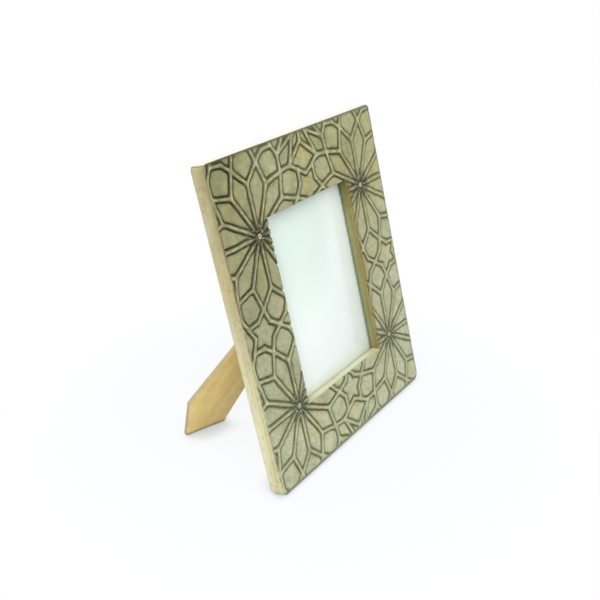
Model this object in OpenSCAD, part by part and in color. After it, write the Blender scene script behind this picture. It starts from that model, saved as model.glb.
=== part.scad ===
// Standing picture frame with a mitred, carved wooden border, a glazed
// rebate, a backing board held by four turn buttons and a hinged easel leg.
// Frame space: X to the right, Y backwards from the back plane, Z up the face
// from the bottom edge. stand() leans that space back onto the table.

/* [Border] */
// Overall width of the frame
frame_w = 241.3; // [200:0.1:300]
// Overall height of the frame
frame_h = 292.1; // [250:0.1:360]
// Thickness of the wood, face to back
frame_t = 15; // [14:0.5:22]
// Width of each rail and stile
rail_w = 59.5; // [45:0.5:65]
// Plan radius of the four outer corners
corner_r = 3.5; // [1:0.5:8]
// Glue line left at each mitre
mitre_gap = 0.05; // [0.02:0.01:0.1]
// Angle that the frame leans back when it stands
lean = 15; // [12:1:18]

/* [Carving] */
// Distance of the first rosette's centre from the left side
rosette_left = 44.8; // [30:0.1:60]
// Distance of the first rosette's centre from the top
rosette_top = 71.1; // [50:0.1:90]
// Width of the pattern's repeat
repeat_w = 158; // [140:0.5:180]
// Height of the pattern's repeat
repeat_h = 156; // [140:0.5:180]
// Width of a raised strap
strap_w = 3.2; // [2.4:0.1:4]
// Width of the groove on each side of a strap
groove_w = 1.9; // [1:0.1:2.4]
// Depth of the grooves
groove_d = 1.2; // [0.5:0.1:2]
// Radius of the round boss in the middle of a rosette
boss_r = 2.4; // [1.5:0.1:3]

/* [Glazing] */
// Width of the lip that holds the glass
rebate_w = 3.4; // [2.5:0.1:5]
// Clearance round the glass and the board in the rebate
pane_gap = 0.5; // [0.3:0.1:0.8]
// Thickness of the glass
glass_t = 2; // [1.5:0.1:3]
// Thickness of the print that lies behind the glass
insert_t = 0.4; // [0.2:0.1:0.6]
// How much smaller the print is than the glass, at each edge
insert_gap = 0.55; // [0.3:0.05:1]
// Thickness of the backing board
board_t = 2.5; // [2:0.1:3]
// Depth of the board's back below the back of the wood
board_inset = 0.1; // [0.05:0.05:0.3]

/* [Corner nails] */
// Length of each arm of a V nail
nail_arm = 7; // [5:0.5:9]
// Sheet thickness of a V nail
nail_sheet = 0.8; // [0.5:0.1:1]
// Depth of a V nail in the wood
nail_depth = 9; // [7:0.5:10]
// Depth of the nail's top below the back
nail_sink = 0.3; // [0.2:0.1:0.8]
// Distance of the first nail from the outer sides
nail_first = 16; // [14:0.5:18]
// Distance between the two nails of a corner
nail_pitch = 20; // [16:0.5:22]
// Clearance round a nail in its slot
nail_gap = 0.05; // [0.03:0.01:0.1]

/* [Turn buttons] */
// Radius of the button's round body
button_r = 5; // [4.5:0.1:6]
// Radius of the button's finger tip
button_tip_r = 3; // [2:0.1:3.5]
// Distance from the pivot to the centre of the finger tip
button_reach = 11; // [10:0.5:12]
// Sheet thickness of a button
button_t = 1; // [0.8:0.1:1.5]
// Distance of the pivot from the edge of the rebate
button_set = 7; // [6:0.5:8]
// Clearance under a button and under the screw head
button_gap = 0.15; // [0.1:0.05:0.3]
// Radius of the screw's shank
screw_r = 1.4; // [1.2:0.05:1.6]
// Radial clearance of the button on its screw
screw_play = 0.08; // [0.05:0.01:0.1]
// Radius of the screw's head
screw_head_r = 2.8; // [2.5:0.1:3.5]
// Height of the screw's head
screw_head_h = 1.1; // [0.9:0.1:1.6]
// Length of the screw in the wood
screw_bite = 9; // [7:0.5:10]
// Clearance of the screw in its pilot hole
pilot_gap = 0.05; // [0.02:0.01:0.1]

/* [Leg] */
// Thickness of the leg
leg_t = 5; // [4:0.5:6]
// Width of the leg at its hinge
leg_head_w = 23; // [22:0.5:30]
// Length of the two square cuts at the foot
foot_cut = 42; // [36:0.5:46]
// Distance of the foot's tip from the frame's side when folded
foot_inset = 3; // [2:0.5:8]
// Angle of the folded leg from the upright
leg_swing = 32; // [28:1:35]
// Sideways place of the hinge from the middle of the frame
hinge_x = -6; // [-12:1:6]
// Height of the hinge above the bottom of the frame
hinge_z = 164; // [150:1:175]

/* [Hinge] */
// Radius of the hinge pin
pin_r = 0.8; // [0.7:0.05:0.9]
// Radial clearance of the pin in the knuckles
pin_play = 0.05; // [0.03:0.01:0.08]
// Outer radius of the knuckles
knuckle_r = 1.6; // [1.5:0.05:1.9]
// Width of the hinge
hinge_w = 20; // [18:0.5:21]
// Width of the leg's middle knuckle
mid_knuckle_w = 8; // [6:0.5:9]
// Gap between neighbouring knuckles
knuckle_gap = 0.2; // [0.15:0.05:0.3]
// Sheet thickness of the hinge plates
plate_t = 0.8; // [0.6:0.1:1]
// Clearance between the knuckles and what turns past them
turn_gap = 0.3; // [0.25:0.05:0.4]
// Length of the board's hinge plate above the pin
board_plate_l = 15; // [14:0.5:20]
// Length of the leg's hinge plate below the pin
leg_plate_l = 26; // [20:0.5:34]
// Gap left where the leg's head lands on its stop
stop_gap = 0.05; // [0.03:0.01:0.1]
// Radius of a rivet's shank
rivet_r = 1.1; // [0.9:0.1:1.3]
// Radius of a rivet's head
rivet_head_r = 2; // [1.7:0.1:2.2]
// Height of a rivet's head
rivet_head_h = 0.7; // [0.5:0.1:0.9]
// Distance of the rivets from the end of their plate
rivet_edge = 3.2; // [3:0.1:4]
// Distance between the two rivets of the board's plate
rivet_spacing = 12; // [10:0.5:14]
// Clearance of a rivet in its hole
rivet_gap = 0.05; // [0.02:0.01:0.1]

/* [Hidden] */
$fn = 64;

// Small overshoot of a cutting tool past the face that it cuts
cut_past = 1;

face_wood = [0.68, 0.66, 0.54];
side_wood = [0.84, 0.80, 0.62];
leg_wood = [0.78, 0.66, 0.43];
board_wood = [0.55, 0.44, 0.30];
glass_tint = [0.80, 0.90, 0.88, 0.35];
print_white = [0.93, 0.96, 0.94];
brass = [0.78, 0.62, 0.30];
steel = [0.70, 0.71, 0.72];

// Carver's slant: drift of the pattern to the right per length down, and upwards per length across
drift_right = 0.004;
drift_up = 0.0066;

// Joints of the straps in one eighth of the repeat, as shares of the repeat
// right of and below a rosette's centre
function ray(r, angle) = [r * cos(angle), r * sin(angle)];
HUB = [0, 0];
PETAL_ROOT = 0.285;
PETAL_TIP = 0.391;
SIDE_0 = ray(PETAL_ROOT, 0);
SIDE_30 = ray(PETAL_ROOT, 30);
SIDE_60 = ray(PETAL_ROOT, 60);
TIP_15 = ray(PETAL_TIP, 15);
TIP_45 = ray(PETAL_TIP, 45);
EDGE_NEAR = [0.454, 0.069];
EDGE_FAR = [0.4255, 0.1635];
KITE = [0.4315, 0.2445];
KITE_TOP = [0.5, 0.211];
FORK = [0.369, 0.284];
STAR_SIDE = [0.5, 0.3945];
STAR_CORNER = [0.446, 0.446];
MIDDLE = [0.5, 0];
STAR_MIDDLE = [0.5, 0.5];

// A joint mirrored in the line between two rosettes, in the line through them, and in the diagonal
function past(p) = [1 - p[0], p[1]];
function under(p) = [p[0], -p[1]];
function swapped(p) = [p[1], p[0]];

// Pads between the straps, by the mirror line that they lie on
FREE_PADS = [[HUB, SIDE_0, TIP_15, SIDE_30],
             [SIDE_30, TIP_15, EDGE_FAR, KITE, FORK, TIP_45],
             [FORK, STAR_SIDE, STAR_MIDDLE, STAR_CORNER]];
ROW_PADS = [[SIDE_0, TIP_15, EDGE_NEAR, MIDDLE, under(EDGE_NEAR), under(TIP_15)]];
EDGE_PADS = [[MIDDLE, EDGE_NEAR, TIP_15, EDGE_FAR, KITE, KITE_TOP,
              past(KITE), past(EDGE_FAR), past(TIP_15), past(EDGE_NEAR)],
             [KITE_TOP, KITE, FORK, STAR_SIDE, past(FORK), past(KITE)]];
DIAGONAL_PADS = [[HUB, SIDE_30, TIP_45, SIDE_60],
                 [TIP_45, FORK, STAR_CORNER, swapped(FORK)]];

// X and Z of a point given in repeats right of and below the first rosette
function on_face(u, v) = [rosette_left + u * repeat_w + drift_right * v * repeat_h - frame_w / 2,
                          frame_h - rosette_top - v * repeat_h + drift_up * u * repeat_w];

// Repeats that the face needs across and down
last_across = ceil((frame_w - rosette_left) / repeat_w);
last_down = ceil((frame_h - rosette_top) / repeat_h);

// Copies of pads over the whole face, for the signs and swaps of axes that make new ones
function spread(pads, across, down, swaps) =
    [for (pad = pads, sx = across, sy = down, swap = swaps, i = [-1:last_across], j = [-1:last_down])
        [for (p = pad) swap ? on_face(i + sy * p[1], j + sx * p[0]) : on_face(i + sx * p[0], j + sy * p[1])]];
PADS = concat(spread(FREE_PADS, [-1, 1], [-1, 1], [false, true]),
              spread(ROW_PADS, [-1, 1], [1], [false, true]),
              spread(EDGE_PADS, [1], [-1, 1], [false, true]),
              spread(DIAGONAL_PADS, [-1, 1], [-1, 1], [false]));
ROSETTES = [for (i = [-1:last_across], j = [-1:last_down]) on_face(i, j)];

// Whether points reach into the box between two corners
function reaches(points, low, high) =
    min([for (p = points) p[0]]) < high[0] && max([for (p = points) p[0]]) > low[0]
    && min([for (p = points) p[1]]) < high[1] && max([for (p = points) p[1]]) > low[1];

// Polygon drawn in by d at every side, whichever way round its points run
function cross_z(a, b) = a[0] * b[1] - a[1] * b[0];
function turn_of(p) = sign([for (i = [0:len(p) - 1]) cross_z(p[i], p[(i + 1) % len(p)])] * [for (q = p) 1]);
function inward(a, b) = [a[1] - b[1], b[0] - a[0]] / norm(b - a);
function drawn_in(p, d) =
    let (n = len(p), turn = turn_of(p))
    [for (i = [0:n - 1])
        let (before = turn * inward(p[(i + n - 1) % n], p[i]), after = turn * inward(p[i], p[(i + 1) % n]))
            p[i] + d * (before + after) / (1 + before * after)];

// Rebate and what fills it, from the lip backwards
rebate_d = glass_t + insert_t + board_t + board_inset;
rebate_open_w = frame_w - 2 * (rail_w - rebate_w);
rebate_open_h = frame_h - 2 * (rail_w - rebate_w);
pane_w = rebate_open_w - 2 * pane_gap;
pane_h = rebate_open_h - 2 * pane_gap;
glass_y = -rebate_d;
insert_y = glass_y + glass_t;
board_y = insert_y + insert_t;
board_back_y = board_y + board_t;

// Hinge axis, and the opening angle that sets the foot level on the table
pin_y = board_back_y + knuckle_r + turn_gap;
leg_open = 2 * atan(tan(lean) / cos(leg_swing));

// Leg in hinge space: X along the pin, Y away from the board, Z up the leg
clear_r = knuckle_r + turn_gap;
leg_in_y = plate_t - knuckle_r;
leg_out_y = leg_in_y + leg_t;
plate_face_y = board_back_y + plate_t - pin_y;

// Folded place of the foot's tip, such that the opened tip touches the table
tip_x = foot_inset - frame_w / 2;
tip_z = tan(lean) * (pin_y + leg_in_y * cos(leg_open)) - leg_in_y * cos(leg_swing) * sin(leg_open);

// A folded point of the leg, given in frame space, seen in hinge space
function in_hinge(x, z) = [(x - hinge_x) * cos(leg_swing) - (z - hinge_z) * sin(leg_swing),
                           (x - hinge_x) * sin(leg_swing) + (z - hinge_z) * cos(leg_swing)];
tip = in_hinge(tip_x, tip_z);
side_end = in_hinge(tip_x, tip_z + foot_cut);
bottom_end = in_hinge(tip_x + foot_cut, tip_z);

// Height on the leg's head where its sloped end meets a given depth
function head_z(y) = (y * cos(leg_open) - plate_face_y - stop_gap) / sin(leg_open);
head_top = head_z(leg_out_y);

// Depth of the opened leg's rearmost corner behind the frame's bottom edge
function open_y(p, y) = pin_y + y * cos(leg_open) - p[1] * sin(leg_open);
function open_z(p, y) = hinge_z - p[0] * sin(leg_swing)
    + (y * sin(leg_open) + p[1] * cos(leg_open)) * cos(leg_swing);
foot_back = open_y(tip, leg_out_y) * cos(lean) + open_z(tip, leg_out_y) * sin(lean);
centre_y = (foot_back - frame_t * cos(lean)) / 2;

// Turn button pivots: place in X and Z, and the way that the finger points
pivot_off_x = rebate_open_w / 2 + button_set;
pivot_off_z = rebate_open_h / 2 + button_set;
PIVOTS = [[0, frame_h / 2 + pivot_off_z, 180],
          [0, frame_h / 2 - pivot_off_z, 0],
          [-pivot_off_x, frame_h / 2, 90],
          [pivot_off_x, frame_h / 2, -90]];
screw_top_y = 2 * button_gap + button_t;

// Rivets: place along the pin and up from it
BOARD_RIVETS = [[-rivet_spacing / 2, board_plate_l - rivet_edge],
                [rivet_spacing / 2, board_plate_l - rivet_edge]];
LEG_RIVETS = [[0, rivet_edge - leg_plate_l],
              [0, rivet_edge - (leg_plate_l - clear_r) / 2 - clear_r]];

// Frames of reference

// Leans the standing frame back and puts the origin under its middle
module stand() {
    translate([0, -centre_y, 0]) rotate([-lean, 0, 0]) children();
}

// Puts a part that is drawn in hinge space on the back of the frame
module at_hinge() {
    stand() translate([hinge_x, pin_y, hinge_z]) rotate([0, leg_swing, 0]) children();
}

// Opens a part that turns with the leg
module opened() {
    at_hinge() rotate([leg_open, 0, 0]) children();
}

// Turns a cylinder that is drawn along Z so that it runs along Y
module along_y() {
    rotate([-90, 0, 0]) children();
}

// Border

// Block with the plan outline of the whole frame and its rounded corners
module frame_outline() {
    x = frame_w / 2 - corner_r;
    translate([-x, -frame_t - cut_past, 0]) cube([2 * x, frame_t + 2 * cut_past, frame_h]);
    translate([-frame_w / 2, -frame_t - cut_past, corner_r])
        cube([frame_w, frame_t + 2 * cut_past, frame_h - 2 * corner_r]);
    for (sx = [-x, x], z = [corner_r, frame_h - corner_r])
        translate([sx, -frame_t - cut_past, z]) along_y() cylinder(r = corner_r, h = frame_t + 2 * cut_past);
}

// Mitred, rebated bar of a given outer length, its outer edge on Z = 0
module mitred_bar(length) {
    half = length / 2 - mitre_gap;
    difference() {
        rotate([90, 0, 0]) linear_extrude(height = frame_t)
            polygon([[-half, 0], [half, 0], [half - rail_w, rail_w], [rail_w - half, rail_w]]);
        translate([-half, -rebate_d, rail_w - rebate_w])
            cube([2 * half, rebate_d + cut_past, rebate_w + cut_past]);
    }
}

// V nail that straddles a mitre, its point towards the outer corner
module v_nail(gap) {
    s = nail_sheet / 2 + gap;
    l = nail_arm + gap;
    translate([0, -nail_sink, 0]) rotate([90, 0, 0]) linear_extrude(height = nail_depth + gap)
        polygon([[-s, -s], [l, -s], [l, s], [s, s], [s, l], [-s, l]]);
}

// Every V nail, two at each corner
module v_nails(gap) {
    for (mx = [0, 1], mz = [0, 1], i = [0, 1]) {
        d = nail_first + i * nail_pitch;
        translate([0, 0, frame_h / 2]) mirror([0, 0, mz]) mirror([mx, 0, 0])
            translate([d - frame_w / 2, 0, d - frame_h / 2]) v_nail(gap);
    }
}

// Pockets that open the nail slots up to the back face
module v_nail_mouths() {
    translate([0, nail_sink + cut_past, 0]) v_nails(nail_gap);
}

// Pilot holes of the turn button screws
module pilot_holes() {
    for (p = PIVOTS)
        translate([p[0], -screw_bite - pilot_gap, p[1]]) along_y()
            cylinder(r = screw_r + pilot_gap, h = screw_bite + pilot_gap + cut_past);
}

// Cutter that is drawn in X and Z and sinks the grooves' depth into the face
module into_face() {
    translate([0, groove_d - frame_t, 0]) rotate([90, 0, 0]) linear_extrude(height = groove_d + cut_past) children();
}

// Grooves round the pads that reach into the box between two corners
module carving(low, high) {
    for (pad = PADS)
        if (reaches(pad, low, high)) into_face() difference() {
            polygon(drawn_in(pad, strap_w / 2));
            polygon(drawn_in(pad, strap_w / 2 + groove_w));
        }
    for (p = ROSETTES)
        if (reaches([p], low, high)) into_face() translate(p) difference() {
            circle(r = boss_r + groove_w / 2);
            circle(r = boss_r);
        }
}

// A bar of the border, shaped, carved and drilled where it sits, between two corners in X and Z
module border_piece(low, high) {
    difference() {
        intersection() {
            children();
            frame_outline();
        }
        carving(low, high);
        v_nails(nail_gap);
        v_nail_mouths();
        pilot_holes();
    }
}

module top_rail() {
    color(face_wood) stand() border_piece([-frame_w / 2, frame_h - rail_w], [frame_w / 2, frame_h])
        translate([0, 0, frame_h]) mirror([0, 0, 1]) mitred_bar(frame_w);
}

module bottom_rail() {
    color(face_wood) stand() border_piece([-frame_w / 2, 0], [frame_w / 2, rail_w]) mitred_bar(frame_w);
}

module left_stile() {
    color(side_wood) stand() border_piece([-frame_w / 2, 0], [rail_w - frame_w / 2, frame_h])
        translate([-frame_w / 2, 0, frame_h / 2]) rotate([0, 90, 0]) mitred_bar(frame_h);
}

module right_stile() {
    color(side_wood) stand() border_piece([frame_w / 2 - rail_w, 0], [frame_w / 2, frame_h])
        translate([frame_w / 2, 0, frame_h / 2]) rotate([0, -90, 0]) mitred_bar(frame_h);
}

module corner_v_nails() {
    color(steel) stand() v_nails(0);
}

// Glazing

// Sheet of a given size, centred in the rebate at a given depth
module sheet(w, h, t, y) {
    translate([-w / 2, y, frame_h / 2 - h / 2]) cube([w, t, h]);
}

module glass_pane() {
    color(glass_tint) stand() sheet(pane_w, pane_h, glass_t, glass_y);
}

module photo_insert() {
    color(print_white) stand() sheet(pane_w - 2 * insert_gap, pane_h - 2 * insert_gap, insert_t, insert_y);
}

module backing_board() {
    color(board_wood) difference() {
        stand() sheet(pane_w, pane_h, board_t, board_y);
        at_hinge() board_rivet_holes();
    }
}

// Turn buttons

// Flat brass button on its pivot, finger along +Z
module turn_button() {
    // Tangent line of the two rounds, from the pivot's side to the tip's side
    lean_in = asin((button_r - button_tip_r) / button_reach);
    c = cos(lean_in);
    s = sin(lean_in);
    translate([0, button_gap, 0]) difference() {
        union() {
            along_y() cylinder(r = button_r, h = button_t);
            translate([0, 0, button_reach]) along_y() cylinder(r = button_tip_r, h = button_t);
            translate([0, button_t, 0]) rotate([90, 0, 0]) linear_extrude(height = button_t)
                polygon([[-button_r * c, button_r * s], [button_r * c, button_r * s],
                         [button_tip_r * c, button_reach + button_tip_r * s],
                         [-button_tip_r * c, button_reach + button_tip_r * s]]);
        }
        translate([0, -cut_past, 0]) along_y() cylinder(r = screw_r + screw_play, h = button_t + 2 * cut_past);
    }
}

module placed_button(i) {
    color(brass) stand() translate([PIVOTS[i][0], 0, PIVOTS[i][1]]) rotate([0, PIVOTS[i][2], 0]) turn_button();
}

module turn_button_top() {
    placed_button(0);
}

module turn_button_bottom() {
    placed_button(1);
}

module turn_button_left() {
    placed_button(2);
}

module turn_button_right() {
    placed_button(3);
}

// Pan head screw with a crossed recess
module button_screw() {
    slot_w = screw_head_r / 4;
    slot_l = screw_head_r * 1.2;
    slot_d = screw_head_h / 2;
    difference() {
        union() {
            translate([0, -screw_bite, 0]) along_y() cylinder(r = screw_r, h = screw_bite + screw_top_y);
            translate([0, screw_top_y, 0]) along_y() cylinder(r = screw_head_r, h = screw_head_h);
        }
        for (a = [45, 135])
            translate([0, screw_top_y + screw_head_h - slot_d, 0]) rotate([0, a, 0])
                translate([-slot_l / 2, 0, -slot_w / 2]) cube([slot_l, slot_d + cut_past, slot_w]);
    }
}

module turn_button_screws() {
    color(brass) stand() for (p = PIVOTS) translate([p[0], 0, p[1]]) button_screw();
}

// Hinge

// Knuckle tube between two places along the pin
module knuckle(x0, x1) {
    translate([x0, 0, 0]) rotate([0, 90, 0]) cylinder(r = knuckle_r, h = x1 - x0);
}

module pin_bore() {
    translate([-hinge_w, 0, 0]) rotate([0, 90, 0]) cylinder(r = pin_r + pin_play, h = 2 * hinge_w);
}

// Rivet holes through the board and its plate
module board_rivet_holes() {
    for (p = BOARD_RIVETS)
        translate([p[0], board_y - pin_y - cut_past, p[1]]) along_y()
            cylinder(r = rivet_r + rivet_gap, h = board_t + plate_t + 2 * cut_past);
}

module hinge_board_plate() {
    side = mid_knuckle_w / 2 + knuckle_gap;
    leaf_y = plate_face_y - plate_t;
    color(brass) at_hinge() difference() {
        union() {
            translate([-hinge_w / 2, leaf_y, clear_r]) cube([hinge_w, plate_t, board_plate_l - clear_r]);
            for (x = [-hinge_w / 2, side]) {
                knuckle(x, x + hinge_w / 2 - side);
                translate([x, leaf_y, 0]) cube([hinge_w / 2 - side, plate_t, clear_r]);
            }
        }
        pin_bore();
        board_rivet_holes();
    }
}

module hinge_board_rivets() {
    color(brass) at_hinge() for (p = BOARD_RIVETS) {
        translate([p[0], board_y - pin_y, p[1]]) along_y() cylinder(r = rivet_r, h = board_t + plate_t);
        translate([p[0], plate_face_y, p[1]]) along_y()
            cylinder(r1 = rivet_head_r, r2 = rivet_head_r * 0.6, h = rivet_head_h);
    }
}

module hinge_pin() {
    color(steel) at_hinge() translate([-hinge_w / 2 - plate_t / 2, 0, 0]) rotate([0, 90, 0])
        cylinder(r = pin_r, h = hinge_w + plate_t);
}

// Rivet in the leg: a countersunk end in the plate and a flat head behind the leg
module leg_rivet(gap) {
    translate([0, -knuckle_r, 0]) along_y()
        cylinder(r1 = rivet_head_r + gap, r2 = rivet_r + gap, h = plate_t);
    translate([0, -knuckle_r, 0]) along_y() cylinder(r = rivet_r + gap, h = plate_t + leg_t);
}

module hinge_leg_plate() {
    color(brass) opened() difference() {
        union() {
            translate([-hinge_w / 2, -knuckle_r, -leg_plate_l]) cube([hinge_w, plate_t, leg_plate_l - clear_r]);
            translate([-mid_knuckle_w / 2, -knuckle_r, -clear_r]) cube([mid_knuckle_w, plate_t, clear_r]);
            knuckle(-mid_knuckle_w / 2, mid_knuckle_w / 2);
        }
        pin_bore();
        for (p = LEG_RIVETS) translate([p[0], 0, p[1]]) leg_rivet(rivet_gap);
    }
}

module hinge_leg_rivets() {
    color(brass) opened() for (p = LEG_RIVETS) translate([p[0], 0, p[1]]) {
        leg_rivet(0);
        translate([0, leg_out_y, 0]) along_y()
            cylinder(r1 = rivet_head_r, r2 = rivet_head_r * 0.6, h = rivet_head_h);
    }
}

// Leg

// Leg board: square V foot, tapered sides, and a head that laps over the
// hinge barrel and lands flat on the board's plate when the leg is open
module easel_leg() {
    h = leg_head_w / 2;
    color(leg_wood) opened() difference() {
        intersection() {
            translate([0, leg_out_y, 0]) rotate([90, 0, 0]) linear_extrude(height = leg_t)
                polygon([[-h, head_top], [-h, 0], side_end, tip, bottom_end, [h, 0], [h, head_top]]);
            rotate([90, 0, 90]) translate([0, 0, tip[0] - frame_w / 2]) linear_extrude(height = frame_w)
                polygon([[leg_in_y, tip[1] - cut_past], [leg_out_y, tip[1] - cut_past],
                         [leg_out_y, head_top], [clear_r, head_z(clear_r)],
                         [clear_r, -clear_r], [leg_in_y, -clear_r]]);
        }
        for (p = LEG_RIVETS) translate([p[0], 0, p[1]]) leg_rivet(rivet_gap);
    }
}

top_rail();
bottom_rail();
left_stile();
right_stile();
corner_v_nails();
glass_pane();
photo_insert();
backing_board();
turn_button_top();
turn_button_bottom();
turn_button_left();
turn_button_right();
turn_button_screws();
hinge_board_plate();
hinge_board_rivets();
hinge_pin();
hinge_leg_plate();
hinge_leg_rivets();
easel_leg();
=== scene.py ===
"""Looks of a standing picture frame with a carved wooden border and an easel leg.

The border's sizes and every piece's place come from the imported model. Points of the border are
worked out in frame space, in millimetres: X to the right, Y backwards from the back plane, and Z up
the face from its bottom edge.
The stand matrix leans that space back onto the table and turns it into metres.
"""

import math
from itertools import product

import bmesh
import bpy
import numpy as np
from mathutils import Matrix, Vector


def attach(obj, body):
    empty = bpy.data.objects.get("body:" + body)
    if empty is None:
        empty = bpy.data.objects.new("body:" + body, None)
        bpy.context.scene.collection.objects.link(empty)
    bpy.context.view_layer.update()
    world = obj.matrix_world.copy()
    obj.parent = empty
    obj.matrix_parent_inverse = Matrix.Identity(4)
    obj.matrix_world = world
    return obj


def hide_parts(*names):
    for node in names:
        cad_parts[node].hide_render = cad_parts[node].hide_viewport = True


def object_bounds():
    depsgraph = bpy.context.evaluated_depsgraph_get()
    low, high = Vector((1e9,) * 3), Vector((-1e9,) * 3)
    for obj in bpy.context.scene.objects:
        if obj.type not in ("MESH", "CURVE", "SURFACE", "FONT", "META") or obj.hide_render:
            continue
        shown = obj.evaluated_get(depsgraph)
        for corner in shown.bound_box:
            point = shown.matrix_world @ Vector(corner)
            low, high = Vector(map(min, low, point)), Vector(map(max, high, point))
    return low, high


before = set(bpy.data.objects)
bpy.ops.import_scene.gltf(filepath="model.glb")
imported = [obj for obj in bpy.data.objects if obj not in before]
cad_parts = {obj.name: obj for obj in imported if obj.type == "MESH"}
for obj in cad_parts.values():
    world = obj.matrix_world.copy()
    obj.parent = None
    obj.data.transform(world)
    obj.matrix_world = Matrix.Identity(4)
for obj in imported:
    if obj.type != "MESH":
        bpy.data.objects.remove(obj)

cad_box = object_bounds()

# Sizes, in millimetres where nothing else is said

MM = 0.001
LEAN = math.radians(15)
FACE_TURN = (LEAN, 0, 0)

# Eased edges of the border
FACE_ARRIS = 1.0
INNER_ARRIS = 1.0
BACK_ARRIS = 0.4
LIP_ARRIS = 0.1
CORNER_R = 4.5
WORN_CORNER_R = 8.0
MITRE_GAP = 0.02

# Clearance between the glass and the side of the rebate
PANE_GAP = 0.5

# Room round the nails and screws. Behind its mouth a nail's slot goes out past the back.
SLOT_GAP = 0.05
SLOT_MOUTH = -1.0
PAST_BACK = 1.0

# Turn button screws: a pointed shank and a domed head with a crossed recess
SCREW_R = 1.4
SCREW_TIP_R = 0.5
SCREW_TIP_H = 0.8
SCREW_POINT_H = 2.6
SCREW_NECK = 0.05
SCREW_HEAD_R = 2.8
SCREW_HEAD_H = 1.1
SCREW_HEAD_EASE = 0.12
SCREW_RIM_H = 0.35 * SCREW_HEAD_H
SCREW_SEGMENTS = 48
DOME_STEP = 15
RECESS_LENGTH = 1.2 * SCREW_HEAD_R
RECESS_WIDTH = SCREW_HEAD_R / 4

# Eased edges of the other pieces, and how far the paper shrinks from its neighbours
GLASS_EASE = 0.15
PAPER_EASE = 0.04
PAPER_SHRINK = 0.03
BOARD_EASE = 0.25
NAIL_EASE = 0.08
PIN_EASE = 0.2
BUTTON_EASE = 0.2
LEAF_EASE = 0.12
STUD_EASE = 0.25
LEG_EASE = 0.5

# Steps of the border's mesh, across the face and along a bar
ROW_STEP = 0.5
COLUMN_STEP = 0.55

# Other rows of a bar's section: angles round an arris, depths on the sides, shares of the bar's width
ARRIS_ANGLES = (0, 25, 45, 65)
BACK_ARRIS_SHARE = 0.3
SIDE_DEPTHS = (11.0, 7.5, 4.0, 2.6, 1.8)
WALL_DEPTHS = (2.3, 3.2, 4.8, 7.0)
BACK_SHARES = (0.66, 0.33)

# Halvings of the distance at which a row meets the mitre
HALVINGS = 50

# Meshes: the gap that is welded, and the angles of flat faces, rounded edges and sharp shading
WELD = 0.001
FLAT_ANGLE = math.radians(1)
BEVEL_ANGLE = math.radians(35)
SHARP_ANGLE = math.radians(40)
SCREW_SHARP_ANGLE = math.radians(38)
BAR_SHARP_ANGLE = math.radians(60)

# Strapwork pattern: its first rosette from the face's top left corner, its repeat and its small skew
HUB_LEFT = 44.8
HUB_TOP = 71.1
REPEAT_W = 158.0
REPEAT_H = 156.0
SKEW_X = 0.004
SKEW_Y = -0.0066

# Repeats that can reach the face, counted from the first rosette's in each direction
REPEATS = range(-1, 3)

# Joints of one eighth of the repeat, as shares of the repeat, with the rosette's centre at the origin
PETAL_SIDE = 0.285
PETAL_TIP = 0.391
EDGE_NEAR = (0.454, 0.069)
EDGE_FAR = (0.4255, 0.1635)
KITE = (0.4315, 0.2445)
KITE_TOP = (0.5, 0.211)
FORK = (0.369, 0.284)
STAR_SIDE = (0.5, 0.3945)
STAR_CORNER = (0.446, 0.446)
MIDDLE = (0.5, 0.0)
STAR_MIDDLE = (0.5, 0.5)

# Section of a strap: a crowned band between two grooves, and pads that drop towards them
BAND_HALF = 1.55
BAND_CROWN = 0.12
GROOVE_MID = 2.6
GROOVE_SPREAD = 0.85
GROOVE_DEPTH = 1.2
PAD_EDGE_DROP = 0.22
PAD_EDGE_SPREAD = 2.2
NET_REACH = 6.0
JOINT_BLEND = 0.55

# Unevenness of the hand carving, each kind as its amount, the size of its lumps and its seed
SWAY_X = (0.35, 14, 3)
SWAY_Z = (0.35, 14, 4)
TREMOR_X = (0.2, 5, 8)
TREMOR_Z = (0.2, 5, 9)
WIDTH_CHANGE = (0.1, 12, 5)
DEPTH_CHANGE = (0.12, 17, 6)
TOOL_MARKS = (1, 9, 7)

# Mean share of the full depth that a groove is cut to, and mean depth of the tool marks
MEAN_DEPTH_SHARE = 0.9
TOOL_MARK_DEPTH = 0.05

# Edges of the face: painted shade on the rim, stain on the lip, and carving that runs out or cuts a
# notch there
RIM_SPREAD = 2.0
CORNER_RIM_SHADE = 1.5
CORNER_RIM_SHADE_R = 16.0
LIP_SPREAD = 2.3
STAIN_RUN = 2.6
RUN_OUT = 2.0
RUN_OUT_LEAST = 0.2
LIP_NOTCH = 0.4
LIP_NOTCH_SPREAD = 1.4
DEEPEST_CUT = 2.1

# Rosettes: straps that narrow to the centre, the stain and smoke round it, and the boss in its middle
HUB_R = 11.0
HUB_SQUEEZE = 0.22
HUB_STAIN_FROM = 7.5
HUB_STAIN_TO = 17.0
HUB_STAIN_FADE = 0.5
SMOKE_SHARE = 0.7
SMOKE_R = 12.0
SMOKE_ACROSS = 7.0
SMOKE_UP = 3.0
BOSS_R = 2.3
BOSS_DOME = 0.25
BOSS_STAIN = 0.1
BOSS_NET = 1.4
BOSS_GROOVE_R = 3.4
BOSS_GROOVE_SPREAD = 0.7
BOSS_GROOVE_SHARE = 0.95

# Paling of the stain to the right and downwards
AGE_ACROSS = 0.78
AGE_DOWN_POWER = 1.3

# Places on the face where the stain took paler or darker, as X, Z, radius and how much paler
STAIN_PATCHES = [
    (-45, 268, 24, 0.3), (58, 244, 18, -0.24), (98, 268, 30, -0.16), (72, 165, 30, -0.16),
    (-78, 190, 22, -0.18), (-112, 150, 40, -0.12), (-38, 57, 9, -0.4), (48, 50, 14, -0.25),
    (-73, 94, 13, -0.35), (6, 269, 12, 0.25),
]


# Frame space

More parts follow.
